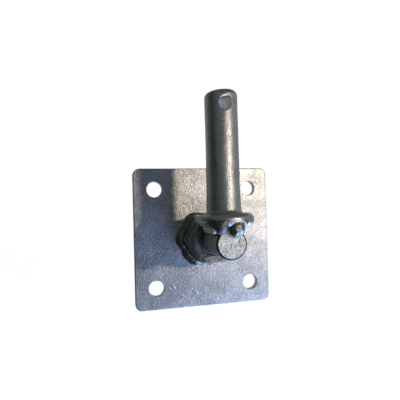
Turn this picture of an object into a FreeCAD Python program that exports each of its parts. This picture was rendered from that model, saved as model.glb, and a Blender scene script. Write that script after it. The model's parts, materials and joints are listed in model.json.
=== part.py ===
import FreeCAD, Part
import math
import os

# Adjustable gate hinge pin on a square plate, hot-dip galvanised steel.
# Millimetres. The origin is the centre of the four bolt holes on the plate's
# back face. +Z is up along the pin, -Y points out of the wall.

os.makedirs("parts", exist_ok=True)

# Mounting plate
plate_width = 100.0
plate_height = 100.0
plate_thickness = 5.0
plate_corner_radius = 5.0
plate_edge_break = 0.6
bolt_spacing_x = 70.0
bolt_spacing_z = 70.0
bolt_hole_diameter = 11.0

# M20 thread and its two hexagon nuts
thread_diameter = 20.0
thread_fit_clearance = 0.05
plate_hole_clearance = 1.0
nut_across_flats = 30.0
nut_height = 15.5
nut_face_diameter = 28.5
nut_chamfer_angle = 30.0
nut_countersink_diameter = 21.6
nut_countersink_angle = 45.0
lock_nut_turn = 4.0

# Weld round the foot of the weld nut
nut_weld_beyond_corner = 2.6
nut_weld_height = 5.5
nut_weld_toe_height = 0.8
nut_weld_crown = 0.7
nut_weld_sag = 0.8
nut_weld_upper_edge = 0.2

# Shank: threaded at the plate end, plain at the front
plain_shank_diameter = 18.3
thread_stop_depth = 3.0
thread_runout_length = 2.0
thread_end_chamfer = 1.2
sawn_end_chamfer = 0.5

# Hinge pin with its forged collar
pin_diameter = 20.0
pin_height_above_collar = 73.6
pin_top_round = 3.6
pin_flare_height = 14.0
pin_flare_width = 0.6
pin_base_fillet = 1.8
collar_diameter = 35.6
collar_thickness = 8.4
collar_top_round = 3.2
collar_bottom_round = 4.2
collar_nut_gap = 1.7
collar_overhang = 4.3
cross_hole_diameter = 8.0
cross_hole_below_top = 9.4
cross_hole_bevel = 0.85

# Weld between the collar and the shank: a bead along each side, which ends
# in a tongue and a lobe at the left and in a heavier lobe at the right
side_bead_radius = 3.0
side_bead_in = 1.0
side_bead_drop = 0.9
side_bead_back_inset = 3.4
tongue_radius = 2.6
tongue_in = 0.6
tongue_drop = 1.4
left_lobe_radius = 3.2
left_lobe_side = 5.7
left_lobe_rise = 0.7
right_lobe_radius = 4.2
right_lobe_side = 3.9
right_lobe_rise = 0.0
lobe_height_ratio = 1.25
lobe_overhang = 0.8

# How far a cutting tool runs past what it cuts
cut_overrun = 1.0

# Turn in degrees from one conical band of a rounding to the next
forged_round_step_angle = 45.0
weld_round_step_angle = 45.0

# Places worked out from the sizes above
plate_front_y = -plate_thickness
weld_nut_front_y = plate_front_y - nut_height
lock_nut_front_y = weld_nut_front_y - nut_height
thread_front_y = lock_nut_front_y + thread_stop_depth
plain_shank_radius = plain_shank_diameter / 2
pin_radius = pin_diameter / 2
collar_radius = collar_diameter / 2
pin_axis_y = lock_nut_front_y - collar_nut_gap - collar_radius
shank_front_y = pin_axis_y - collar_radius + collar_overhang
collar_bottom_z = plain_shank_radius
collar_top_z = collar_bottom_z + collar_thickness
pin_top_z = collar_top_z + pin_height_above_collar
cross_hole_z = pin_top_z - cross_hole_below_top
nut_corner_radius = nut_across_flats / 2 / math.cos(math.radians(30))

origin = FreeCAD.Vector(0, 0, 0)
along_x = FreeCAD.Vector(1, 0, 0)
along_y = FreeCAD.Vector(0, 1, 0)
along_z = FreeCAD.Vector(0, 0, 1)


def round_bar(radius, y_start, y_end, x=0.0, z=0.0):
    """Cylinder along Y between two values of y."""
    start = FreeCAD.Vector(x, y_start, z)
    return Part.makeCylinder(radius, y_end - y_start, start, along_y)


def turned(profile, axis):
    """Body turned from (radius, height along the axis) points, from one end to the other."""
    points = [along_x * radius + axis * height for radius, height in profile]
    outline = Part.makePolygon(points + [points[0]])
    return Part.Face(outline).revolve(origin, axis, 360)


def rounding(centre_radius, centre_height, radius, from_angle, to_angle, step_angle, stretch=1.0):
    """Profile points of a rounding, a step apart, drawn out in height by the stretch.

    Angles are in degrees from the outward direction.
    """
    steps = max(1, round(abs(to_angle - from_angle) / step_angle))
    points = []
    for step in range(steps + 1):
        angle = math.radians(from_angle + (to_angle - from_angle) * step / steps)
        along = centre_height + stretch * radius * math.sin(angle)
        points.append((centre_radius + radius * math.cos(angle), along))
    return points


def rounded_rectangle(width, height, corner_radius, y):
    """Closed outline in the plane at y, with round corners."""
    half_w = width / 2 - corner_radius
    half_h = height / 2 - corner_radius
    corners = [(half_w, half_h), (-half_w, half_h), (-half_w, -half_h), (half_w, -half_h)]
    quarter_turn = math.pi / 2
    arcs = []
    for number, (x, z) in enumerate(corners):
        circle = Part.Circle(FreeCAD.Vector(x, y, z), FreeCAD.Vector(0, -1, 0), corner_radius)
        circle.XAxis = along_x
        arcs.append(circle.toShape(number * quarter_turn, (number + 1) * quarter_turn))
    edges = []
    for arc, following in zip(arcs, arcs[1:] + arcs[:1]):
        edges.append(arc)
        straight_start = arc.valueAt(arc.LastParameter)
        straight_end = following.valueAt(following.FirstParameter)
        edges.append(Part.makeLine(straight_start, straight_end))
    return Part.Wire(edges)


def mounting_plate():
    """Flat square plate with four bolt holes and the middle hole for the thread."""
    outline = rounded_rectangle(plate_width, plate_height, plate_corner_radius, 0)
    plate = Part.Face(outline).extrude(FreeCAD.Vector(0, -plate_thickness, 0))
    rims = [edge for edge in plate.Edges if edge.BoundBox.YLength < plate_thickness / 2]
    plate = plate.makeChamfer(plate_edge_break, rims)
    for side in (-1, 1):
        for level in (-1, 1):
            x = side * bolt_spacing_x / 2
            z = level * bolt_spacing_z / 2
            plate = plate.cut(round_bar(bolt_hole_diameter / 2, -2 * plate_thickness, plate_thickness, x, z))
    middle_radius = thread_diameter / 2 + plate_hole_clearance
    return plate.cut(round_bar(middle_radius, -2 * plate_thickness, plate_thickness))


def hexagon(across_flats, y):
    """Hexagon outline with a corner on each side, at the plane y."""
    corner = across_flats / 2 / math.cos(math.radians(30))
    points = []
    for step in range(7):
        angle = math.radians(60 * step)
        points.append(FreeCAD.Vector(corner * math.cos(angle), y, corner * math.sin(angle)))
    return Part.makePolygon(points)


def hexagon_nut(back_y):
    """Nut with conical chamfers on both faces; its thread hole is countersunk at the front."""
    front_y = back_y - nut_height
    body = Part.Face(hexagon(nut_across_flats, back_y)).extrude(FreeCAD.Vector(0, -nut_height, 0))
    face_radius = nut_face_diameter / 2
    rim_radius = nut_corner_radius + cut_overrun
    chamfer_depth = (rim_radius - face_radius) * math.tan(math.radians(nut_chamfer_angle))
    envelope = turned([
        (0, back_y),
        (face_radius, back_y),
        (rim_radius, back_y - chamfer_depth),
        (rim_radius, front_y + chamfer_depth),
        (face_radius, front_y),
        (0, front_y),
    ], along_y)
    bore_radius = thread_diameter / 2 + thread_fit_clearance
    sink_radius = nut_countersink_diameter / 2
    sink_depth = (sink_radius - bore_radius) / math.tan(math.radians(nut_countersink_angle))
    hole = turned([
        (0, back_y + cut_overrun),
        (bore_radius, back_y + cut_overrun),
        (bore_radius, front_y + sink_depth),
        (sink_radius, front_y),
        (sink_radius, front_y - cut_overrun),
        (0, front_y - cut_overrun),
    ], along_y)
    return body.common(envelope).cut(hole)


def weld_nut():
    return hexagon_nut(plate_front_y)


def lock_nut():
    nut = hexagon_nut(weld_nut_front_y)
    nut.rotate(origin, along_y, lock_nut_turn)
    return nut


def nut_weld():
    """Fillet weld round the nut: full toe on the plate, crowned, thin at its upper edge."""
    toe_radius = nut_corner_radius + nut_weld_beyond_corner
    upper_radius = nut_across_flats / 2 + nut_weld_upper_edge
    crown_radius = (toe_radius + upper_radius) / 2 + nut_weld_crown
    crown_height = (nut_weld_toe_height + nut_weld_height) / 2 + nut_weld_crown
    ring = turned([
        (0, plate_front_y),
        (toe_radius, plate_front_y),
        (toe_radius, plate_front_y - nut_weld_toe_height),
        (crown_radius, plate_front_y - crown_height),
        (upper_radius, plate_front_y - nut_weld_height),
        (0, plate_front_y - nut_weld_height),
    ], along_y)
    ring.translate(FreeCAD.Vector(0, 0, -nut_weld_sag))
    core = Part.Face(hexagon(nut_across_flats, plate_front_y)).extrude(FreeCAD.Vector(0, -nut_height, 0))
    return ring.cut(core)


def threaded_shank():
    """Round bar: full thread diameter at the plate end, plain diameter at the front."""
    thread_radius = thread_diameter / 2
    return turned([
        (0, 0),
        (thread_radius - thread_end_chamfer, 0),
        (thread_radius, -thread_end_chamfer),
        (thread_radius, thread_front_y + thread_runout_length),
        (plain_shank_radius, thread_front_y),
        (plain_shank_radius, shank_front_y + sawn_end_chamfer),
        (plain_shank_radius - sawn_end_chamfer, shank_front_y),
        (0, shank_front_y),
    ], along_y)


def pin_profile():
    """Half section of the pin: collar, base fillet, slight flare, straight pin, round top."""
    foot_radius = pin_radius + pin_flare_width
    profile = [(0, collar_bottom_z)]
    profile += rounding(collar_radius - collar_bottom_round, collar_bottom_z + collar_bottom_round,
                        collar_bottom_round, -90, 0, forged_round_step_angle)
    profile += rounding(collar_radius - collar_top_round, collar_top_z - collar_top_round,
                        collar_top_round, 0, 90, forged_round_step_angle)
    profile += rounding(foot_radius + pin_base_fillet, collar_top_z + pin_base_fillet,
                        pin_base_fillet, 270, 180, forged_round_step_angle)
    profile.append((pin_radius, collar_top_z + pin_flare_height))
    profile += rounding(pin_radius - pin_top_round, pin_top_z - pin_top_round,
                        pin_top_round, 0, 90, forged_round_step_angle)
    profile.append((0, pin_top_z))
    return profile


def hinge_pin():
    """Forged pin and collar in one, with a bevelled cross-hole along Y."""
    pin = turned(pin_profile(), along_z)
    hole_radius = cross_hole_diameter / 2
    hole = round_bar(hole_radius, -2 * pin_radius, 2 * pin_radius, 0, cross_hole_z)
    pin = pin.cut(hole)
    sink_radius = hole_radius + 2 * cross_hole_bevel
    for side in (-1, 1):
        tip = FreeCAD.Vector(0, side * (pin_radius + cross_hole_bevel - sink_radius), cross_hole_z)
        outward = FreeCAD.Vector(0, side, 0)
        pin = pin.cut(Part.makeCone(0, sink_radius, sink_radius, tip, outward))
    pin.translate(FreeCAD.Vector(0, pin_axis_y, 0))
    return pin


def weld_drop(x, y, z, radius):
    """Drop of weld metal, drawn out in height."""
    drop = turned(rounding(0, 0, radius, -90, 90, weld_round_step_angle, lobe_height_ratio), along_z)
    drop.translate(FreeCAD.Vector(x, y, z))
    return drop


def side_bead(side):
    """Round-ended bead in the corner between the shank and the collar's flat underside."""
    x = plain_shank_radius - side_bead_in
    z = collar_bottom_z - side_bead_drop
    half_chord = math.sqrt(collar_radius ** 2 - x ** 2)
    back_y = pin_axis_y + half_chord - side_bead_radius - side_bead_back_inset
    front_y = shank_front_y + side_bead_radius
    profile = rounding(0, front_y, side_bead_radius, -90, 0, weld_round_step_angle)
    profile += rounding(0, back_y, side_bead_radius, 0, 90, weld_round_step_angle)
    bead = turned(profile, along_y)
    bead.translate(FreeCAD.Vector(side * x, 0, z))
    return bead


def weld_run(runs):
    """Bead and drops melted into one run, hollowed to fit the shank and the collar."""
    return runs[0].multiFuse(runs[1:]).cut(threaded_shank()).cut(hinge_pin())


def pin_weld_left():
    """Left run: side bead, the tongue at the shank's edge, and the smaller front lobe."""
    runs = [side_bead(-1)]
    tongue_x = -(plain_shank_radius - tongue_in)
    tongue_z = collar_bottom_z - tongue_drop
    runs.append(weld_drop(tongue_x, shank_front_y, tongue_z, tongue_radius))
    lobe_z = collar_bottom_z + left_lobe_rise
    lobe_y = shank_front_y - lobe_overhang
    runs.append(weld_drop(-left_lobe_side, lobe_y, lobe_z, left_lobe_radius))
    return weld_run(runs)


def pin_weld_right():
    """Right run: side bead and the heavy front lobe."""
    runs = [side_bead(1)]
    lobe_z = collar_bottom_z + right_lobe_rise
    lobe_y = shank_front_y - lobe_overhang
    runs.append(weld_drop(right_lobe_side, lobe_y, lobe_z, right_lobe_radius))
    return weld_run(runs)


nodes = {
    "mounting_plate": mounting_plate,
    "weld_nut": weld_nut,
    "nut_weld": nut_weld,
    "lock_nut": lock_nut,
    "threaded_shank": threaded_shank,
    "hinge_pin": hinge_pin,
    "pin_weld_left": pin_weld_left,
    "pin_weld_right": pin_weld_right,
}

for name, build in nodes.items():
    shape = build()
    shape.exportStep("parts/" + name + ".step")
    print(name, len(shape.Solids), "solids", round(shape.Volume), "mm3", shape.isValid())
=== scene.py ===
import json
import math
import bmesh
import bpy
from mathutils import Matrix, Vector, noise


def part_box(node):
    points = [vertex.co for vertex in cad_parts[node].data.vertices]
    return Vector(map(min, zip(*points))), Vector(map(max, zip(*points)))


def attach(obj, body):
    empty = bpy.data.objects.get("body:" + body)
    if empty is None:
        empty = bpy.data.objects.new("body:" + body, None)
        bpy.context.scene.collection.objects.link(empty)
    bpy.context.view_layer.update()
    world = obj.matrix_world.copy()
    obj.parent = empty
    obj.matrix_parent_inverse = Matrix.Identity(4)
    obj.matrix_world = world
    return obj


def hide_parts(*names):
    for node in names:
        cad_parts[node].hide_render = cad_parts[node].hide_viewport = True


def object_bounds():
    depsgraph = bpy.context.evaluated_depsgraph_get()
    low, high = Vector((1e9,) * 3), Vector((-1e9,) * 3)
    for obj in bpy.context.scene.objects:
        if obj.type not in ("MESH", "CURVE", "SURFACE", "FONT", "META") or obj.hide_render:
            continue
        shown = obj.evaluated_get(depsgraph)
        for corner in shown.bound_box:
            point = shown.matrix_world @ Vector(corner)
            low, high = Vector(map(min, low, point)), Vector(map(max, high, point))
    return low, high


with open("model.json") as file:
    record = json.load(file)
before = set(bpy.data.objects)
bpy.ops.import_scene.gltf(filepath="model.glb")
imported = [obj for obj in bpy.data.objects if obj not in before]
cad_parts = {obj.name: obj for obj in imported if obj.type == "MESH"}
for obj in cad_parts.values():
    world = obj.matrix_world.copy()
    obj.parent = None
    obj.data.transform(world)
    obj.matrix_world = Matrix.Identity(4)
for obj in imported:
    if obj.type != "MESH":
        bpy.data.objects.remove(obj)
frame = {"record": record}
cad_low, cad_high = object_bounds()

# Mounting plate
# Square of 5 mm steel, sheared, with rounded corners, four punched bolt holes
# and a middle hole for the thread, dipped whole in molten zinc after welding.
plate_low, plate_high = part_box("mounting_plate")
plate_thickness = plate_high.y - plate_low.y
plate_front = plate_low.y
plate_mount = next(m for m in frame["record"]["mounts"] if m["name"] == "plate_bolts")
bolt_hole_radius = plate_mount["dims"]["hole_r_mm"] / 1000
bolt_step_x = plate_mount["dims"]["spacing_x_mm"] / 1000
bolt_step_z = plate_mount["dims"]["spacing_y_mm"] / 1000
plate_corner_radius = 0.005
middle_hole_radius = 0.011
plate_edge_round = 0.0007
hole_edge_round = 0.0004
sharp_rim_angle = math.radians(60)
towards_front = Matrix.Rotation(math.radians(90), 3, "X")


def zinc_skin_group():
    """Cloudy patches, fine grain and a lumpy height that every dipped surface shares."""
    group = bpy.data.node_groups.new("zinc_skin", "ShaderNodeTree")
    group.interface.new_socket("Vector", in_out="INPUT", socket_type="NodeSocketVector")
    for label, value in (("Patch Scale", 70.0), ("Grain Scale", 1100.0), ("Grain Share", 0.35)):
        socket = group.interface.new_socket(label, in_out="INPUT", socket_type="NodeSocketFloat")
        socket.default_value = value
    for label in ("Patches", "Grain", "Height"):
        group.interface.new_socket(label, in_out="OUTPUT", socket_type="NodeSocketFloat")
    nodes, links = group.nodes, group.links
    inlet = nodes.new("NodeGroupInput")
    outlet = nodes.new("NodeGroupOutput")

    patches = nodes.new("ShaderNodeTexNoise")
    patches.inputs["Detail"].default_value = 4.0
    patches.inputs["Roughness"].default_value = 0.6
    patches.inputs["Distortion"].default_value = 0.8
    links.new(inlet.outputs["Vector"], patches.inputs["Vector"])
    links.new(inlet.outputs["Patch Scale"], patches.inputs["Scale"])
    grain = nodes.new("ShaderNodeTexNoise")
    grain.inputs["Detail"].default_value = 2.0
    grain.inputs["Roughness"].default_value = 0.5
    links.new(inlet.outputs["Vector"], grain.inputs["Vector"])
    links.new(inlet.outputs["Grain Scale"], grain.inputs["Scale"])
    for cloud, label in ((patches, "Patches"), (grain, "Grain")):
        spread = nodes.new("ShaderNodeMapRange")
        spread.inputs["From Min"].default_value = 0.36
        spread.inputs["From Max"].default_value = 0.64
        links.new(cloud.outputs["Fac"], spread.inputs["Value"])
        links.new(spread.outputs["Result"], outlet.inputs[label])

    height = nodes.new("ShaderNodeMix")
    height.data_type = "FLOAT"
    links.new(inlet.outputs["Grain Share"], height.inputs["Factor"])
    links.new(patches.outputs["Fac"], height.inputs["A"])
    links.new(grain.outputs["Fac"], height.inputs["B"])
    links.new(height.outputs["Result"], outlet.inputs["Height"])
    return group


zinc_skin = zinc_skin_group()


def dipped_zinc(label, dull, bright, roughest, smoothest, patch_scale, grain_scale, bump_depth,
                grain_share=0.5):
    """Zinc over steel: two tones in cloudy patches and specks, which break up its shine too."""
    material = bpy.data.materials.new(label)
    material.use_nodes = True
    nodes, links = material.node_tree.nodes, material.node_tree.links
    surface = nodes["Principled BSDF"]
    surface.inputs["Metallic"].default_value = 1.0
    place = nodes.new("ShaderNodeTexCoord")
    skin = nodes.new("ShaderNodeGroup")
    skin.node_tree = zinc_skin
    skin.inputs["Patch Scale"].default_value = patch_scale
    skin.inputs["Grain Scale"].default_value = grain_scale
    links.new(place.outputs["Object"], skin.inputs["Vector"])

    tone = nodes.new("ShaderNodeMix")
    tone.data_type = "RGBA"
    tone.inputs["A"].default_value = (*dull, 1.0)
    tone.inputs["B"].default_value = (*bright, 1.0)
    blotch = nodes.new("ShaderNodeMath")
    blotch.operation = "MULTIPLY_ADD"
    blotch.inputs[1].default_value = 1.0 - grain_share
    links.new(skin.outputs["Patches"], blotch.inputs[0])
    speck = nodes.new("ShaderNodeMath")
    speck.operation = "MULTIPLY"
    speck.inputs[1].default_value = grain_share
    links.new(skin.outputs["Grain"], speck.inputs[0])
    links.new(speck.outputs["Value"], blotch.inputs[2])
    links.new(blotch.outputs["Value"], tone.inputs["Factor"])
    links.new(tone.outputs["Result"], surface.inputs["Base Color"])

    sheen = nodes.new("ShaderNodeMapRange")
    sheen.inputs["To Min"].default_value = roughest
    sheen.inputs["To Max"].default_value = smoothest
    links.new(blotch.outputs["Value"], sheen.inputs["Value"])
    links.new(sheen.outputs["Result"], surface.inputs["Roughness"])

    bump = nodes.new("ShaderNodeBump")
    bump.inputs["Distance"].default_value = bump_depth
    links.new(skin.outputs["Height"], bump.inputs["Height"])
    links.new(bump.outputs["Normal"], surface.inputs["Normal"])
    return material


def finished_piece(label, mesh, material, body, smooth_angle=35.0):
    """Piece from a bmesh, smooth up to an angle in degrees, with its finish and its body."""
    data = bpy.data.meshes.new(label)
    mesh.to_mesh(data)
    mesh.free()
    data.shade_smooth()
    data.set_sharp_from_angle(angle=math.radians(smooth_angle))
    data.materials.append(material)
    piece = bpy.data.objects.new(label, data)
    bpy.context.scene.collection.objects.link(piece)
    shading = piece.modifiers.new("even_shading", "WEIGHTED_NORMAL")
    shading.keep_sharp = True
    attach(piece, body)
    return piece


sheet = bmesh.new()
bmesh.ops.create_grid(sheet, x_segments=1, y_segments=1, size=plate_high.x)
bmesh.ops.bevel(sheet, geom=sheet.verts[:], offset=plate_corner_radius, offset_type="OFFSET",
                affect="VERTICES", segments=10, profile=0.5, material=-1)
bmesh.ops.delete(sheet, geom=sheet.faces[:], context="FACES_ONLY")
for side in (-1, 1):
    for level in (-1, 1):
        bolt_place = Matrix.Translation((side * bolt_step_x / 2, level * bolt_step_z / 2, 0))
        bmesh.ops.create_circle(sheet, segments=56, radius=bolt_hole_radius, matrix=bolt_place)
bmesh.ops.create_circle(sheet, segments=72, radius=middle_hole_radius)
bmesh.ops.triangle_fill(sheet, use_beauty=True, edges=sheet.edges[:])
pressed = bmesh.ops.extrude_face_region(sheet, geom=sheet.faces[:])
raised = [v for v in pressed["geom"] if isinstance(v, bmesh.types.BMVert)]
bmesh.ops.translate(sheet, vec=(0, 0, plate_thickness), verts=raised)
bmesh.ops.rotate(sheet, cent=(0, 0, 0), matrix=towards_front, verts=sheet.verts[:])
bmesh.ops.recalc_face_normals(sheet, faces=sheet.faces[:])
near_edge = plate_high.x - plate_corner_radius
rims = [e for e in sheet.edges if e.calc_face_angle(0) > sharp_rim_angle]
outer_rims = [e for e in rims if max(abs(e.verts[0].co.x), abs(e.verts[0].co.z)) > near_edge]
bmesh.ops.bevel(sheet, geom=outer_rims, offset=plate_edge_round, offset_type="OFFSET", affect="EDGES",
                segments=4, profile=0.5, material=-1)
hole_rims = [e for e in sheet.edges if e.calc_face_angle(0) > sharp_rim_angle]
bmesh.ops.bevel(sheet, geom=hole_rims, offset=hole_edge_round, offset_type="OFFSET", affect="EDGES",
                segments=3, profile=0.5, material=-1)
plate_zinc = dipped_zinc("plate_zinc", (0.38, 0.38, 0.38), (0.93, 0.93, 0.93), 0.42, 0.34, 60.0, 1500.0,
                         0.0005, 0.6)
plate = finished_piece("plate", sheet, plate_zinc, "wall_plate")
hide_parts("mounting_plate")

# Zinc lumps on the plate
# Molten zinc that set in a few low runs on the plate's lower left as it drained;
# each is a chain of flat drops on the steel, from one end to the other.
lump_ends = [
    ((-0.0262, -0.0352), (-0.0254, -0.0360), 0.0011), ((-0.0240, -0.0336), (-0.0214, -0.0362), 0.0010),
    ((-0.0192, -0.0394), (-0.0138, -0.0440), 0.0013), ((-0.0082, -0.0382), (-0.0058, -0.0406), 0.0015),
    ((-0.0030, -0.0414), (0.0028, -0.0442), 0.0010), ((-0.0208, -0.0456), (-0.0196, -0.0466), 0.0012),
    ((-0.0112, -0.0458), (-0.0098, -0.0468), 0.0012), ((0.0084, -0.0450), (0.0096, -0.0458), 0.0011),
]
lump_height = 0.15
lump_step = 0.0005
lump_unevenness = 0.5
lump_noise_scale = 700
lump_voxel = 0.00022
lump_smoothing = 4


def melted(mesh, voxel, evenness):
    """Separate drops run together into one skin of weld metal."""
    data = bpy.data.meshes.new("melted")
    mesh.to_mesh(data)
    mesh.free()
    lump = bpy.data.objects.new("melted", data)
    bpy.context.scene.collection.objects.link(lump)
    skin = lump.modifiers.new("skin", "REMESH")
    skin.mode = "VOXEL"
    skin.voxel_size = voxel
    flow = lump.modifiers.new("flow", "SMOOTH")
    flow.factor = 0.5
    flow.iterations = evenness
    bpy.context.view_layer.update()
    result = bmesh.new()
    result.from_mesh(lump.evaluated_get(bpy.context.evaluated_depsgraph_get()).to_mesh())
    bpy.data.objects.remove(lump)
    return result


lumps = bmesh.new()
for start, end, lump_radius in lump_ends:
    start = Vector((start[0], plate_front, start[1]))
    end = Vector((end[0], plate_front, end[1]))
    steps = max(1, round((end - start).length / lump_step))
    for step in range(steps + 1):
        place = start.lerp(end, step / steps)
        taper = 0.5 + 0.5 * math.sin(math.pi * (step + 0.5) / (steps + 1))
        size = lump_radius * taper * (1 + lump_unevenness * noise.noise(place * lump_noise_scale))
        shape = Matrix.Translation(place) @ Matrix.Diagonal((size, size * lump_height, size, 1))
        bmesh.ops.create_icosphere(lumps, subdivisions=2, radius=1.0, matrix=shape)
lumps = melted(lumps, lump_voxel, lump_smoothing)
lump_zinc = dipped_zinc("lump_zinc", (0.42, 0.43, 0.44), (0.84, 0.84, 0.84), 0.48, 0.40, 160.0, 1150.0,
                        0.0004)
finished_piece("zinc_lumps", lumps, lump_zinc, "wall_plate")

# Weld nut
# Full hexagon nut of carbon steel, forged and chamfered on both faces, set
# down on the plate over its middle hole and welded there.
nut_low, nut_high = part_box("weld_nut")
nut_height = nut_high.y - nut_low.y
nut_across_flats = nut_high.z - nut_low.z
nut_corner_radius = nut_across_flats / 2 / math.cos(math.radians(30))
nut_face_radius = 0.01425
nut_chamfer_angle = math.radians(30)
nut_chamfer_cuts = 72
nut_sharp_angle = math.radians(20)
nut_bevel_slopes = (0.1, 0.8)
nut_face_slope = 0.97
nut_bore_radius = 0.01005
nut_sink_radius = 0.0108
nut_edge_round = 0.0003


def hexagon_nut(back_y, turn):
    """Chamfered nut with a countersunk bore, its back at back_y, turned about its bore in degrees."""
    mesh = bmesh.new()
    bmesh.ops.create_cone(mesh, cap_ends=True, segments=6, radius1=nut_corner_radius,
                          radius2=nut_corner_radius, depth=nut_height)
    flats_level = Matrix.Rotation(math.radians(30), 3, "Z")
    bmesh.ops.rotate(mesh, cent=(0, 0, 0), matrix=flats_level, verts=mesh.verts[:])
    for end in (-1, 1):
        for step in range(nut_chamfer_cuts):
            around = math.radians(360 * (step + 0.5) / nut_chamfer_cuts)
            outward = Vector((math.cos(around), math.sin(around), 0))
            upward = Vector((0, 0, end))
            slope = outward * math.sin(nut_chamfer_angle) + upward * math.cos(nut_chamfer_angle)
            rim = outward * nut_face_radius + upward * (nut_height / 2)
            whole = mesh.verts[:] + mesh.edges[:] + mesh.faces[:]
            cut = bmesh.ops.bisect_plane(mesh, geom=whole, dist=1e-7, plane_co=rim, plane_no=slope,
                                         clear_outer=True)
            cut_edges = [g for g in cut["geom_cut"] if isinstance(g, bmesh.types.BMEdge)]
            bmesh.ops.edgeloop_fill(mesh, edges=cut_edges)
    faces = sorted(mesh.faces, key=lambda f: f.calc_center_median().z)
    openings = []
    for end, face in ((-1, faces[0]), (1, faces[-1])):
        bmesh.ops.inset_individual(mesh, faces=[face], thickness=nut_face_radius - nut_sink_radius)
        sink = nut_sink_radius - nut_bore_radius
        bmesh.ops.inset_individual(mesh, faces=[face], thickness=sink, depth=-sink)
        openings += face.edges[:]
    bmesh.ops.delete(mesh, geom=[faces[0], faces[-1]], context="FACES_ONLY")
    bmesh.ops.bridge_loops(mesh, edges=openings)
    bmesh.ops.remove_doubles(mesh, verts=mesh.verts[:], dist=1e-6)
    bmesh.ops.recalc_face_normals(mesh, faces=mesh.faces[:])
    sharp = [e for e in mesh.edges if e.calc_face_angle(0) > nut_sharp_angle]
    bmesh.ops.bevel(mesh, geom=sharp, offset=nut_edge_round, offset_type="OFFSET", affect="EDGES",
                    segments=2, profile=0.5, material=-1, clamp_overlap=True)
    # Faces on the rounded edges and outer chamfers get a pale material, a painted highlight along the nut's
    # edges.
    for face in mesh.faces:
        reach = face.calc_center_median().xy.length
        tilt = abs(face.normal.z)
        if nut_bevel_slopes[0] < tilt < nut_bevel_slopes[1] and reach > nut_face_radius:
            face.material_index = 1
        elif tilt > nut_face_slope:
            face.material_index = 2
    bmesh.ops.rotate(mesh, cent=(0, 0, 0), matrix=towards_front, verts=mesh.verts[:])
    turned = Matrix.Rotation(math.radians(turn), 3, "Y")
    bmesh.ops.rotate(mesh, cent=(0, 0, 0), matrix=turned, verts=mesh.verts[:])
    bmesh.ops.translate(mesh, vec=(0, back_y - nut_height / 2, 0), verts=mesh.verts[:])
    return mesh


nut_zinc = dipped_zinc("nut_zinc", (0.07, 0.10, 0.07), (0.33, 0.38, 0.31), 0.54, 0.42, 220.0, 1150.0,
                       0.0006)
# Painted highlight: a pale material for the nut's rounded edges and chamfers.
nut_edge_painted_highlight = dipped_zinc("nut_edge_painted_highlight", (0.60, 0.58, 0.50), (0.95, 0.93, 0.84), 0.55, 0.45, 130.0,
                            1150.0, 0.0002)
nut_face_zinc = dipped_zinc("nut_face_zinc", (0.12, 0.10, 0.09), (0.46, 0.39, 0.35), 0.56, 0.46, 300.0,
                            1150.0, 0.0004)
weld_nut = finished_piece("weld_nut_dipped", hexagon_nut(nut_high.y, 0), nut_zinc, "wall_plate")
weld_nut.data.materials.append(nut_edge_painted_highlight)
weld_nut.data.materials.append(nut_face_zinc)
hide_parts("weld_nut")

# Weld round the nut
# Hand-laid fillet bead between the nut's foot and the plate, with the ripples
# of each puddle, heavier at the bottom, under the same zinc as the rest.
bead_low, bead_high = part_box("nut_weld")
bead_middle = (bead_low + bead_high) / 2
bead_reach = (bead_high.x - bead_low.x) / 2
bead_height = bead_high.y - bead_low.y
bead_ripples = 44
bead_ripple_depth = 0.00016
bead_corner_swell = 0.0011
bead_flat_shrink = 0.0008
bead_steps = 264
bead_section_steps = 18
bead_centre_radius = 0.0162
bead_ripple_slant = 500
bead_noise_scale = 220
bead_noise_depth = 0.0009
bead_mean_fullness = 0.93
bead_lower_fullness = 0.12
bead_sag_share = 0.6
bead_sunk = 0.0004

bead = bmesh.new()
bead_half_width = bead_reach - bead_centre_radius - bead_ripple_depth
bead_section = (Matrix.Translation((bead_centre_radius, plate_front, 0))
                @ Matrix.Diagonal((bead_half_width, bead_height - bead_sunk, 1, 1)))
bmesh.ops.create_circle(bead, segments=bead_section_steps, radius=1.0, matrix=bead_section)
bmesh.ops.spin(bead, geom=bead.verts[:] + bead.edges[:], cent=(0, 0, 0), axis=(0, 1, 0),
               angle=math.radians(360), steps=bead_steps, use_merge=True)
for v in bead.verts:
    around = math.atan2(v.co.z, v.co.x)
    away = Vector((math.cos(around), 0, math.sin(around)))
    spine = away * bead_centre_radius + Vector((0, plate_front, 0))
    outward = v.co - spine
    ripple = abs(math.sin(around * bead_ripples / 2 + v.co.y * bead_ripple_slant)) * bead_ripple_depth
    swell = noise.noise(v.co * bead_noise_scale) * bead_noise_depth
    fullness = bead_mean_fullness - bead_lower_fullness * math.sin(around)
    at_corner = (1 + math.cos(6 * around)) / 2
    reach_change = bead_corner_swell * at_corner - bead_flat_shrink * (1 - at_corner)
    v.co = spine + outward * fullness + outward.normalized() * (ripple + swell)
    v.co += away * reach_change
    v.co.z += bead_middle.z * bead_sag_share
    v.co.y = min(v.co.y, plate_front + bead_sunk)
bmesh.ops.recalc_face_normals(bead, faces=bead.faces[:])
weld_zinc = dipped_zinc("weld_zinc", (0.14, 0.150, 0.145), (0.39, 0.395, 0.385), 0.44, 0.34, 420.0, 1150.0,
                        0.0004)
nut_bead = finished_piece("nut_bead", bead, weld_zinc, "wall_plate", 80.0)
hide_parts("nut_weld")

# Lock nut
# A second nut like the first, run down the thread and tightened against it;
# it came to rest a few degrees past the first one's flats.
lock_low, lock_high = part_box("lock_nut")
lock_nut_turn = 4.0
lock_nut = finished_piece("lock_nut_dipped", hexagon_nut(lock_high.y, lock_nut_turn), nut_zinc, "wall_plate")
lock_nut.data.materials.append(nut_edge_painted_highlight)
lock_nut.data.materials.append(nut_face_zinc)
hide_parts("lock_nut")

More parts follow.
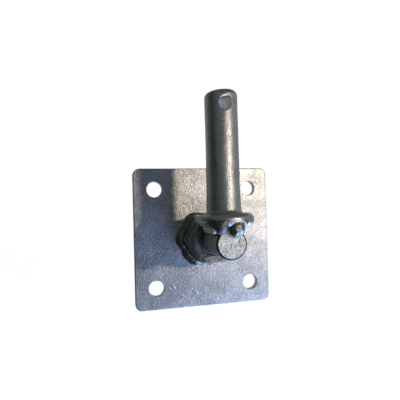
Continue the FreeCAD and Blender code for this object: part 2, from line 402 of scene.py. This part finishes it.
# Shank
# Round bar with a coarse 2.5 mm pitch thread rolled on its plate end, which
# stops inside the lock nut; the plain front end is sawn off square.
shank_low, shank_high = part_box("threaded_shank")
thread_radius = shank_high.x
thread_pitch = 0.0025
thread_depth_share = 0.6134
thread_root_radius = thread_radius - thread_depth_share * thread_pitch
thread_inset = 0.003
thread_front_y = lock_low.y + thread_inset
thread_steps = 72
thread_chamfer = 0.0014
plain_radius = 0.00915
plain_overlap = 0.004
sawn_edge_round = 0.0011
long_edge_limit = 0.01
long_edge_cuts = 30
bar_steps = 144

bar = bmesh.new()
crest_flat = thread_pitch / 8
root_flat = thread_pitch / 4
flank = (thread_pitch - crest_flat - root_flat) / 2
tooth = [(thread_root_radius, 0), (thread_root_radius, root_flat), (thread_radius, root_flat + flank),
         (thread_radius, root_flat + flank + crest_flat), (thread_root_radius, thread_pitch)]
chain = [bar.verts.new((radius, -height, 0)) for radius, height in tooth]
chain_edges = [bar.edges.new(pair) for pair in zip(chain, chain[1:])]
thread_turns = math.ceil(-thread_front_y / thread_pitch) + 2
bmesh.ops.translate(bar, vec=(0, 2 * thread_pitch, 0), verts=chain)
bmesh.ops.spin(bar, geom=chain + chain_edges, cent=(0, 0, 0), axis=(0, -1, 0),
               dvec=(0, -thread_pitch / thread_steps, 0), angle=math.radians(360) * thread_turns,
               steps=thread_steps * thread_turns)
bmesh.ops.remove_doubles(bar, verts=bar.verts[:], dist=2e-6)
for level, outward in ((0.0, 1), (thread_front_y, -1)):
    whole = bar.verts[:] + bar.edges[:] + bar.faces[:]
    cut = bmesh.ops.bisect_plane(bar, geom=whole, dist=1e-7, plane_co=(0, level, 0), plane_no=(0, outward, 0),
                                 clear_outer=True)
    cut_edges = [g for g in cut["geom_cut"] if isinstance(g, bmesh.types.BMEdge)]
    bmesh.ops.edgeloop_fill(bar, edges=cut_edges)
for v in bar.verts:
    radius = math.hypot(v.co.x, v.co.z)
    allowed = min(thread_radius - thread_chamfer - v.co.y, thread_radius)
    if radius > allowed:
        v.co.x *= allowed / radius
        v.co.z *= allowed / radius
plain = [(0, thread_front_y + plain_overlap), (thread_root_radius, thread_front_y + plain_overlap),
         (plain_radius, thread_front_y), (plain_radius, shank_low.y), (0, shank_low.y)]
outline = [bar.verts.new((radius, y, 0)) for radius, y in plain]
for pair in zip(outline, outline[1:]):
    bar.edges.new(pair)
bmesh.ops.bevel(bar, geom=[outline[3]], offset=sawn_edge_round, offset_type="OFFSET", affect="VERTICES",
                segments=4, profile=0.5, material=-1)
long_edges = [e for e in bar.edges if not e.link_faces and e.calc_length() > long_edge_limit]
bmesh.ops.subdivide_edges(bar, edges=long_edges, cuts=long_edge_cuts)
outline = [v for v in bar.verts if not v.link_faces]
outline_edges = [e for e in bar.edges if not e.link_faces]
bmesh.ops.spin(bar, geom=outline + outline_edges, cent=(0, 0, 0), axis=(0, 1, 0), angle=math.radians(360),
               steps=bar_steps, use_merge=True)
bmesh.ops.remove_doubles(bar, verts=bar.verts[:], dist=1e-7)
bmesh.ops.recalc_face_normals(bar, faces=bar.faces[:])
# The sawn end face gets the sawn finish, and the rounded rim round it gets a near-black material, painted
# shade along the edge.
for face in bar.faces:
    depth = face.calc_center_median().y - shank_low.y
    face.material_index = 1 if depth < 1e-5 else 2 if depth < sawn_edge_round else 0
bar_zinc = dipped_zinc("bar_zinc", (0.34, 0.36, 0.34), (0.70, 0.72, 0.68), 0.42, 0.32, 160.0, 1200.0,
                       0.0004)
sawn_zinc = dipped_zinc("sawn_zinc", (0.47, 0.43, 0.36), (1.0, 0.94, 0.82), 0.56, 0.48, 300.0, 1300.0,
                        0.0010, 0.6)
# Painted shade: a near-black material for the rounded rim of the sawn end.
sawn_rim_painted_shade = dipped_zinc("sawn_rim_painted_shade", (0.05, 0.05, 0.045), (0.15, 0.14, 0.13), 0.56, 0.46, 300.0, 1150.0,
                       0.0003)
shank = finished_piece("shank", bar, bar_zinc, "pin_arm")
shank.data.materials.append(sawn_zinc)
shank.data.materials.append(sawn_rim_painted_shade)
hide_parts("threaded_shank")

# Hinge pin
# Pin and collar forged in one: a thick collar with rolled-over edges, a swollen
# foot, a round bar with a bluntly rounded top, and a drilled cross-hole.
pin_low, pin_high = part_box("hinge_pin")
pin_axis_y = (pin_low.y + pin_high.y) / 2
collar_radius = pin_high.x
collar_bottom = pin_low.z
pin_mount = next(m for m in frame["record"]["mounts"] if m["name"] == "gate_pin")
hole_mount = next(m for m in frame["record"]["mounts"] if m["name"] == "locking_hole")
collar_mount = next(m for m in frame["record"]["mounts"] if m["name"] == "collar_top")
pin_radius = pin_mount["dims"]["r_mm"] / 1000
collar_top = collar_mount["pos_m"][2]
pin_top = pin_high.z
cross_hole_radius = hole_mount["dims"]["r_mm"] / 1000
cross_hole_z = hole_mount["pos_m"][2]
cross_hole_bevel = 0.00085
pin_foot_swell = 0.0006
pin_foot_height = 0.014
collar_lower_round = 0.0041
collar_upper_round = 0.0034
foot_hollow = 0.0022
foot_blend = 0.006
pin_top_round = 0.0040
pin_steps = 168

pin = bmesh.new()
profile = [(0, collar_bottom), (collar_radius, collar_bottom), (collar_radius, collar_top),
           (pin_radius + pin_foot_swell, collar_top), (pin_radius, collar_top + pin_foot_height),
           (pin_radius, pin_top), (0, pin_top)]
corners = [pin.verts.new((radius, 0, z)) for radius, z in profile]
for pair in zip(corners, corners[1:]):
    pin.edges.new(pair)
roundings = ((collar_lower_round, 10), (collar_upper_round, 10), (foot_hollow, 8), (foot_blend, 6),
             (pin_top_round, 10))
for corner, (rounding, segments) in zip(corners[1:], roundings):
    bmesh.ops.bevel(pin, geom=[corner], offset=rounding, offset_type="OFFSET", affect="VERTICES",
                    segments=segments, profile=0.5, material=-1)
for edge_limit, cuts in ((0.02, 60), (0.004, 8)):
    long_edges = [e for e in pin.edges if e.calc_length() > edge_limit]
    bmesh.ops.subdivide_edges(pin, edges=long_edges, cuts=cuts)
bmesh.ops.spin(pin, geom=pin.verts[:] + pin.edges[:], cent=(0, 0, 0), axis=(0, 0, 1),
               angle=math.radians(360), steps=pin_steps, use_merge=True)
bmesh.ops.remove_doubles(pin, verts=pin.verts[:], dist=1e-7)
bmesh.ops.recalc_face_normals(pin, faces=pin.faces[:])
bmesh.ops.translate(pin, vec=(0, pin_axis_y, 0), verts=pin.verts[:])
pin_zinc = dipped_zinc("pin_zinc", (0.37, 0.39, 0.39), (0.71, 0.71, 0.70), 0.46, 0.38, 90.0, 1150.0,
                       0.0005, 0.6)
collar_zinc = dipped_zinc("collar_zinc", (0.35, 0.37, 0.37), (0.70, 0.72, 0.71), 0.42, 0.32, 160.0, 1150.0,
                          0.0004)
# Painted light: a pale material for the wall of the cross-hole, which brightens the inside of the hole.
bore_painted_light = dipped_zinc("bore_painted_light", (0.60, 0.60, 0.60), (0.95, 0.95, 0.95), 0.55, 0.45, 160.0, 1150.0,
                        0.0004)
hinge_pin = finished_piece("pin", pin, pin_zinc, "pin_arm", 50.0)

# The drill is a cylinder with a cone at each end for the bevel; the pin is round,
# so the cones start a little below its crest.
drill = bmesh.new()
drill_cone_inset = 0.0008
drill_reach = 2 * (pin_radius + cross_hole_bevel)
drill_cone_start = pin_radius - drill_cone_inset
drill_cone_radius = cross_hole_radius + drill_reach / 2 + cross_hole_bevel
drill_profile = [(0, -drill_reach), (drill_cone_radius, -drill_reach), (cross_hole_radius, -drill_cone_start),
                 (cross_hole_radius, drill_cone_start), (drill_cone_radius, drill_reach), (0, drill_reach)]
drill_corners = [drill.verts.new((radius, y, 0)) for radius, y in drill_profile]
for pair in zip(drill_corners, drill_corners[1:]):
    drill.edges.new(pair)
bmesh.ops.spin(drill, geom=drill.verts[:] + drill.edges[:], cent=(0, 0, 0), axis=(0, 1, 0),
               angle=math.radians(360), steps=96, use_merge=True)
bmesh.ops.remove_doubles(drill, verts=drill.verts[:], dist=1e-7)
bmesh.ops.recalc_face_normals(drill, faces=drill.faces[:])
bmesh.ops.translate(drill, vec=(0, pin_axis_y, cross_hole_z), verts=drill.verts[:])
drill_data = bpy.data.meshes.new("drill")
drill.to_mesh(drill_data)
drill.free()
drill_tool = bpy.data.objects.new("drill", drill_data)
bpy.context.scene.collection.objects.link(drill_tool)
drilling = hinge_pin.modifiers.new("drilling", "BOOLEAN")
drilling.operation = "DIFFERENCE"
drilling.solver = "EXACT"
drilling.object = drill_tool
hinge_pin.modifiers.move(1, 0)
bpy.context.view_layer.update()
drilled = bpy.data.meshes.new_from_object(hinge_pin.evaluated_get(bpy.context.evaluated_depsgraph_get()))
hinge_pin.modifiers.remove(drilling)
hinge_pin.data = drilled
bpy.data.objects.remove(drill_tool)
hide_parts("hinge_pin")

# The hammer leaves the collar thinner at its left end, the bar slightly uneven
# and its top a little lower on the left.
collar_skin_rise = 0.0006
collar_middle = 0.0146
rim_from_radius = pin_radius + 0.0015
rim_blend = 0.004
thin_from_x = -0.004
thin_share = 0.55
top_lean = 0.0013
top_lean_height = 0.010
dent_depth = 0.00012
dent_scale = 90
small_dent_scale = 260
small_dent_share = 0.25
dent_bias = 0.4
for v in hinge_pin.data.vertices:
    outward = Vector((v.co.x, v.co.y - pin_axis_y, 0))
    if v.co.z < collar_top + 1e-5 and outward.length > rim_from_radius:
        thinning = min(max((thin_from_x - v.co.x) / (collar_radius + thin_from_x), 0), 1)
        rim = min(max((outward.length - rim_from_radius) / rim_blend, 0), 1)
        v.co.z = collar_middle + (v.co.z - collar_middle) * (1 - thin_share * thinning * rim)
    if v.co.z > pin_top - top_lean_height:
        up = (v.co.z - pin_top + top_lean_height) / top_lean_height
        v.co.z -= top_lean * up * up * (pin_radius - v.co.x) / (2 * pin_radius)
    if outward.length > 0.001:
        dent = noise.noise(v.co * dent_scale) + small_dent_share * noise.noise(v.co * small_dent_scale)
        v.co += outward.normalized() * (dent - dent_bias) * dent_depth
hinge_pin.data.materials.append(collar_zinc)
hinge_pin.data.materials.append(bore_painted_light)
for face in hinge_pin.data.polygons:
    if face.center.z < collar_top + collar_skin_rise:
        face.material_index = 1
    # Faces inside the cross-hole take the pale bore material, painted light.
    if math.hypot(face.center.x, face.center.z - cross_hole_z) < cross_hole_radius + dent_depth:
        face.material_index = 2

# Weld between collar and shank
# Weld metal run along both sides of the shank under the collar and over its
# sawn end, where it hangs in a tongue and two heavy drops, all zinc-coated.
weld_voxel = 0.00032
weld_smoothing = 14
weld_clearance = 0.0001
weld_end_inset = 0.003
puddle_pitch = 0.0021
puddle_noise_scale = 400
puddle_shift = 0.0004
end_face_y = shank_low.y
left_bead_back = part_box("pin_weld_left")[1].y - weld_end_inset
right_bead_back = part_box("pin_weld_right")[1].y - weld_end_inset
under_collar_x = plain_radius - 0.0010
under_collar_z = collar_bottom - 0.0009
left_beads = [
    [((-under_collar_x, left_bead_back, under_collar_z), 0.0028),
     ((-under_collar_x, end_face_y + 0.0060, under_collar_z), 0.0026)],
    [((-0.0146, pin_axis_y - 0.0025, 0.0124), 0.0013), ((-0.0136, end_face_y + 0.0050, 0.0105), 0.0015),
     ((-0.0105, end_face_y - 0.0002, 0.0079), 0.0017)],
]
right_beads = [
    [((under_collar_x, right_bead_back, under_collar_z), 0.0028),
     ((under_collar_x, end_face_y + 0.0100, under_collar_z), 0.0028),
     ((under_collar_x - 0.0004, end_face_y + 0.0030, under_collar_z + 0.0016), 0.0018)],
]
left_drops = [
    ((-0.0100, end_face_y + 0.0030, 0.0124), (0.0036, 0.0034, 0.0026)),
    ((-0.0078, end_face_y + 0.0010, 0.0120), (0.0046, 0.0036, 0.0034)),
    ((-0.0064, end_face_y - 0.0006, 0.0103), (0.0046, 0.0036, 0.0047)),
    ((-0.0034, end_face_y + 0.0000, 0.0126), (0.0044, 0.0038, 0.0034)),
]
right_drops = [
    ((0.0024, end_face_y - 0.0013, 0.0092), (0.0049, 0.0038, 0.0052)),
    ((0.0026, end_face_y - 0.0002, 0.0122), (0.0046, 0.0036, 0.0034)),
    ((-0.0006, end_face_y + 0.0000, 0.0132), (0.0036, 0.0036, 0.0030)),
    ((0.0068, end_face_y + 0.0008, 0.0124), (0.0036, 0.0040, 0.0030)),
]
weld_lump_depth = 0.00030
weld_lump_scale = 330
small_lump_scale = 900
small_lump_share = 0.4
weld_noise_seed = 1
tongue_edge_x = -0.0094
tongue_slope = 0.84
tongue_top_z = 0.0003
noise.seed_set(weld_noise_seed)


def laid_bead(mesh, route):
    """Overlapping puddles of weld metal along a route of (place, radius) points."""
    for (start, start_radius), (end, end_radius) in zip(route, route[1:]):
        start, end = Vector(start), Vector(end)
        count = max(1, round((end - start).length / puddle_pitch))
        for step in range(count + 1):
            place = start.lerp(end, step / count)
            place += noise.noise_vector(place * puddle_noise_scale) * puddle_shift
            radius = start_radius + (end_radius - start_radius) * step / count
            bmesh.ops.create_icosphere(mesh, subdivisions=3, radius=radius,
                                       matrix=Matrix.Translation(place))


tongue_zinc = dipped_zinc("tongue_zinc", (0.50, 0.47, 0.47), (0.95, 0.90, 0.90), 0.66, 0.56, 420.0, 1150.0,
                          0.0005)
# A darker material given to the whole left weld, apart from its tongue.
left_weld_dark_zinc = dipped_zinc("left_weld_dark_zinc", (0.06, 0.06, 0.07), (0.26, 0.25, 0.27), 0.50, 0.38, 420.0, 1150.0,
                          0.0006)
for beads, drops, name in ((left_beads, left_drops, "left"), (right_beads, right_drops, "right")):
    weld = bmesh.new()
    for route in beads:
        laid_bead(weld, route)
    for place, half_size in drops:
        shape = Matrix.Translation(place) @ Matrix.Diagonal((*half_size, 1))
        bmesh.ops.create_icosphere(weld, subdivisions=4, radius=1.0, matrix=shape)
    weld = melted(weld, weld_voxel, weld_smoothing)
    for v in weld.verts:
        lump = noise.noise_vector(v.co * weld_lump_scale)
        v.co += (lump + small_lump_share * noise.noise_vector(v.co * small_lump_scale)) * weld_lump_depth
        v.co.y = max(v.co.y, cad_low[1] + weld_clearance)
    piece = finished_piece("pin_weld_" + name + "_bead", weld, weld_zinc, "pin_arm", 180.0)
    piece.data.materials.append(tongue_zinc)
    piece.data.materials.append(left_weld_dark_zinc)
    for face in piece.data.polygons:
        below_tongue_top = face.center.z + tongue_slope * face.center.x < tongue_top_z
        if face.center.x < tongue_edge_x and below_tongue_top:
            face.material_index = 1
        elif name == "left":
            face.material_index = 2
    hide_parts("pin_weld_" + name)

# Studio
# Pale floor that runs up into a pale backdrop, a small warm key lamp at the front
# right that throws the pin's shadow on the plate, and a faint cool one overhead.
backdrop_tone = (0.86, 0.86, 0.86)
paper_glow_tone = (1.0, 1.0, 1.0)
paper_glow_seen = 0.90
floor_half_width = 1.6
floor_near = -1.4
backdrop_far = 1.1
backdrop_height = 1.6
backdrop_sweep = 0.45
backdrop_roughness = 0.9
sweep_steps = 16

sweep = bmesh.new()
bmesh.ops.create_grid(sweep, x_segments=1, y_segments=1, size=1.0)
floor_far = backdrop_far - backdrop_sweep
floor_half_depth = (floor_far - floor_near) / 2
floor_middle = (floor_far + floor_near) / 2
bmesh.ops.scale(sweep, vec=(floor_half_width, floor_half_depth, 1), verts=sweep.verts[:])
bmesh.ops.translate(sweep, vec=(0, floor_middle, cad_low[2]), verts=sweep.verts[:])
back_edge = max(sweep.edges, key=lambda e: e.verts[0].co.y + e.verts[1].co.y)
turn_centre = (0, floor_far, cad_low[2] + backdrop_sweep)
curved = bmesh.ops.spin(sweep, geom=[back_edge], cent=turn_centre, axis=(1, 0, 0), angle=math.radians(90),
                        steps=sweep_steps, use_duplicate=False)
top_edge = [e for e in curved["geom_last"] if isinstance(e, bmesh.types.BMEdge)]
wall = bmesh.ops.extrude_edge_only(sweep, edges=top_edge)
wall_top = [v for v in wall["geom"] if isinstance(v, bmesh.types.BMVert)]
bmesh.ops.translate(sweep, vec=(0, 0, backdrop_height), verts=wall_top)
bmesh.ops.recalc_face_normals(sweep, faces=sweep.faces[:])
sweep_data = bpy.data.meshes.new("backdrop")
sweep.to_mesh(sweep_data)
sweep.free()
sweep_data.shade_smooth()
paper = bpy.data.materials.new("pale_paper")
paper.use_nodes = True
paper_nodes, paper_links = paper.node_tree.nodes, paper.node_tree.links
paper_surface = paper_nodes["Principled BSDF"]
paper_surface.inputs["Base Color"].default_value = (*backdrop_tone, 1.0)
paper_surface.inputs["Roughness"].default_value = backdrop_roughness
paper_surface.inputs["Emission Color"].default_value = (*paper_glow_tone, 1.0)
light_path = paper_nodes.new("ShaderNodeLightPath")
seen = paper_nodes.new("ShaderNodeMath")
seen.operation = "MULTIPLY"
seen.inputs[1].default_value = paper_glow_seen
paper_links.new(light_path.outputs["Is Camera Ray"], seen.inputs[0])
paper_links.new(seen.outputs["Value"], paper_surface.inputs["Emission Strength"])
sweep_data.materials.append(paper)
backdrop = bpy.data.objects.new("backdrop", sweep_data)
bpy.context.scene.collection.objects.link(backdrop)
backdrop.visible_glossy = False

lamp_target = Vector((0, -0.03, 0.02))
lamp_distance = 0.9


def soft_light(label, azimuth, elevation, size, power, colour):
    """Square lamp aimed at the nut, placed by angles in degrees; azimuth 0 is in front, + to the right."""
    lamp = bpy.data.lights.new(label, "AREA")
    lamp.shape = "RECTANGLE"
    lamp.size = size
    lamp.size_y = size
    lamp.energy = power
    lamp.color = colour
    holder = bpy.data.objects.new(label, lamp)
    bpy.context.scene.collection.objects.link(holder)
    around, up = math.radians(azimuth), math.radians(elevation)
    outward = Vector((math.sin(around) * math.cos(up), -math.cos(around) * math.cos(up), math.sin(up)))
    holder.location = lamp_target + outward * lamp_distance
    holder.rotation_euler = outward.to_track_quat("Z", "Y").to_euler()
    holder.visible_camera = False


soft_light("key", 32.4, 7.5, 0.055, 2.0, (1.0, 0.87, 0.70))
soft_light("overhead", 0, 85, 1.0, 0.2, (0.80, 0.92, 1.0))

# Air of the studio
# What the metal mirrors: dark on the left, paler behind, and under eye level a
# floor that turns bright blue towards the object's foot; the camera sees white.
# Each stop is an azimuth in degrees, where 0 is in front and + is to the right.
upper_air = [
    (-180, (0.48, 0.48, 0.47)), (-124, (0.17, 0.18, 0.17)), (-100, (0.018, 0.026, 0.020)),
    (-62, (0.020, 0.030, 0.024)), (-46, (0.14, 0.165, 0.180)), (-6, (0.13, 0.145, 0.155)),
    (6, (0.035, 0.040, 0.042)), (24, (0.035, 0.040, 0.042)), (45, (0.06, 0.06, 0.06)),
    (75, (0.26, 0.265, 0.27)), (140, (0.40, 0.405, 0.41)),
]
far_floor_air = [
    (-180, (0.48, 0.50, 0.52)), (-100, (0.014, 0.018, 0.016)), (-60, (0.016, 0.022, 0.020)),
    (-10, (0.06, 0.085, 0.14)), (10, (0.06, 0.085, 0.14)), (45, (0.08, 0.09, 0.11)),
    (90, (0.08, 0.09, 0.11)),
]
near_floor_air = [
    (-180, (0.48, 0.50, 0.52)), (-100, (0.02, 0.02, 0.02)), (-35, (0.02, 0.02, 0.02)),
    (4, (0.03, 0.03, 0.04)), (15, (0.30, 0.39, 0.70)), (40, (0.62, 0.82, 1.30)),
    (80, (0.10, 0.12, 0.15)),
]
foot_air = [
    (-180, (0.48, 0.50, 0.52)), (-100, (0.04, 0.04, 0.035)), (-35, (0.06, 0.06, 0.05)),
    (4, (0.10, 0.12, 0.18)), (15, (0.50, 0.66, 1.10)), (40, (2.20, 3.20, 5.20)),
    (80, (2.20, 3.20, 5.20)),
]
far_floor_level = -2.5
near_floor_level = -10.0
foot_level = -20.0
level_blur = 0.9
sky_level = 35.0
sky_blur = 12.0
sky_tone = (0.05, 0.06, 0.065)

world = bpy.data.worlds.new("studio_air")
bpy.context.scene.world = world
world.use_nodes = True
air_nodes, air_links = world.node_tree.nodes, world.node_tree.links
direction = air_nodes.new("ShaderNodeTexCoord")
split = air_nodes.new("ShaderNodeSeparateXYZ")
air_links.new(direction.outputs["Generated"], split.inputs["Vector"])


def air_math(operation, first, second):
    """Math node on two values; each is a socket or a number."""
    node = air_nodes.new("ShaderNodeMath")
    node.operation = operation
    for socket, value in zip(node.inputs, (first, second)):
        if isinstance(value, bpy.types.NodeSocket):
            air_links.new(value, socket)
        else:
            socket.default_value = value
    return node.outputs["Value"]


def air_band(turn_share, stops):
    """Colour all the way round, from (azimuth, colour) stops."""
    ramp = air_nodes.new("ShaderNodeValToRGB")
    elements = ramp.color_ramp.elements
    elements[0].position, elements[0].color = 0.0, (*stops[0][1], 1.0)
    elements[1].position, elements[1].color = 1.0, (*stops[0][1], 1.0)
    for azimuth, colour in stops[1:]:
        elements.new(azimuth / 360 + 0.5).color = (*colour, 1.0)
    air_links.new(turn_share, ramp.inputs["Fac"])
    return ramp.outputs["Color"]


def air_above(lower, upper, level, blur):
    """Lower colour below an elevation in degrees and the upper colour above it."""
    step = air_nodes.new("ShaderNodeMapRange")
    step.interpolation_type = "SMOOTHSTEP"
    step.inputs["From Min"].default_value = math.sin(math.radians(level - blur))
    step.inputs["From Max"].default_value = math.sin(math.radians(level + blur))
    air_links.new(split.outputs["Z"], step.inputs["Value"])
    mixed = air_nodes.new("ShaderNodeMix")
    mixed.data_type = "RGBA"
    air_links.new(step.outputs["Result"], mixed.inputs["Factor"])
    air_links.new(lower, mixed.inputs["A"])
    if isinstance(upper, bpy.types.NodeSocket):
        air_links.new(upper, mixed.inputs["B"])
    else:
        mixed.inputs["B"].default_value = (*upper, 1.0)
    return mixed.outputs["Result"]


towards_viewer = air_math("MULTIPLY", split.outputs["Y"], -1.0)
azimuth_turn = air_math("ARCTAN2", split.outputs["X"], towards_viewer)
turn_share = air_math("MULTIPLY_ADD", azimuth_turn, 1 / (2 * math.pi))
turn_share.node.inputs[2].default_value = 0.5
air = air_above(air_band(turn_share, foot_air), air_band(turn_share, near_floor_air), foot_level, level_blur)
air = air_above(air, air_band(turn_share, far_floor_air), near_floor_level, level_blur)
air = air_above(air, air_band(turn_share, upper_air), far_floor_level, level_blur)
air = air_above(air, sky_tone, sky_level, sky_blur)
air_links.new(air, air_nodes["Background"].inputs["Color"])
white_air = air_nodes.new("ShaderNodeBackground")
white_air.inputs["Color"].default_value = (1.0, 1.0, 1.0, 1.0)
air_seen = air_nodes.new("ShaderNodeLightPath")
air_mixed = air_nodes.new("ShaderNodeMixShader")
air_links.new(air_seen.outputs["Is Camera Ray"], air_mixed.inputs["Fac"])
air_links.new(air_nodes["Background"].outputs["Background"], air_mixed.inputs[1])
air_links.new(white_air.outputs["Background"], air_mixed.inputs[2])
air_links.new(air_mixed.outputs["Shader"], air_nodes["World Output"].inputs["Surface"])

# Camera
# Placed from the photo: a fit to the plate's corners and bolt holes and to the
# outline of the arm, seen from the left at the height of the nut.
focal_length_pixels = 374.8
image_width_pixels = 400
sensor_width = 36.0
nearest_seen = 0.01
camera_place = Vector((-0.0682, -0.2697, 0.0210))
camera_turn = math.radians(-14.06)
camera_lift = math.radians(1.24)
camera_roll = math.radians(-1.61)
lens = bpy.data.cameras.new("camera")
lens.sensor_width = sensor_width
lens.lens = focal_length_pixels / image_width_pixels * sensor_width
lens.clip_start = nearest_seen
viewer = bpy.data.objects.new("camera", lens)
bpy.context.scene.collection.objects.link(viewer)
viewer.matrix_world = (Matrix.Translation(camera_place) @ Matrix.Rotation(camera_turn, 4, "Z")
                       @ Matrix.Rotation(math.radians(90) + camera_lift, 4, "X")
                       @ Matrix.Rotation(camera_roll, 4, "Z"))
bpy.context.scene.camera = viewer
bpy.context.scene.view_settings.view_transform = "Standard"
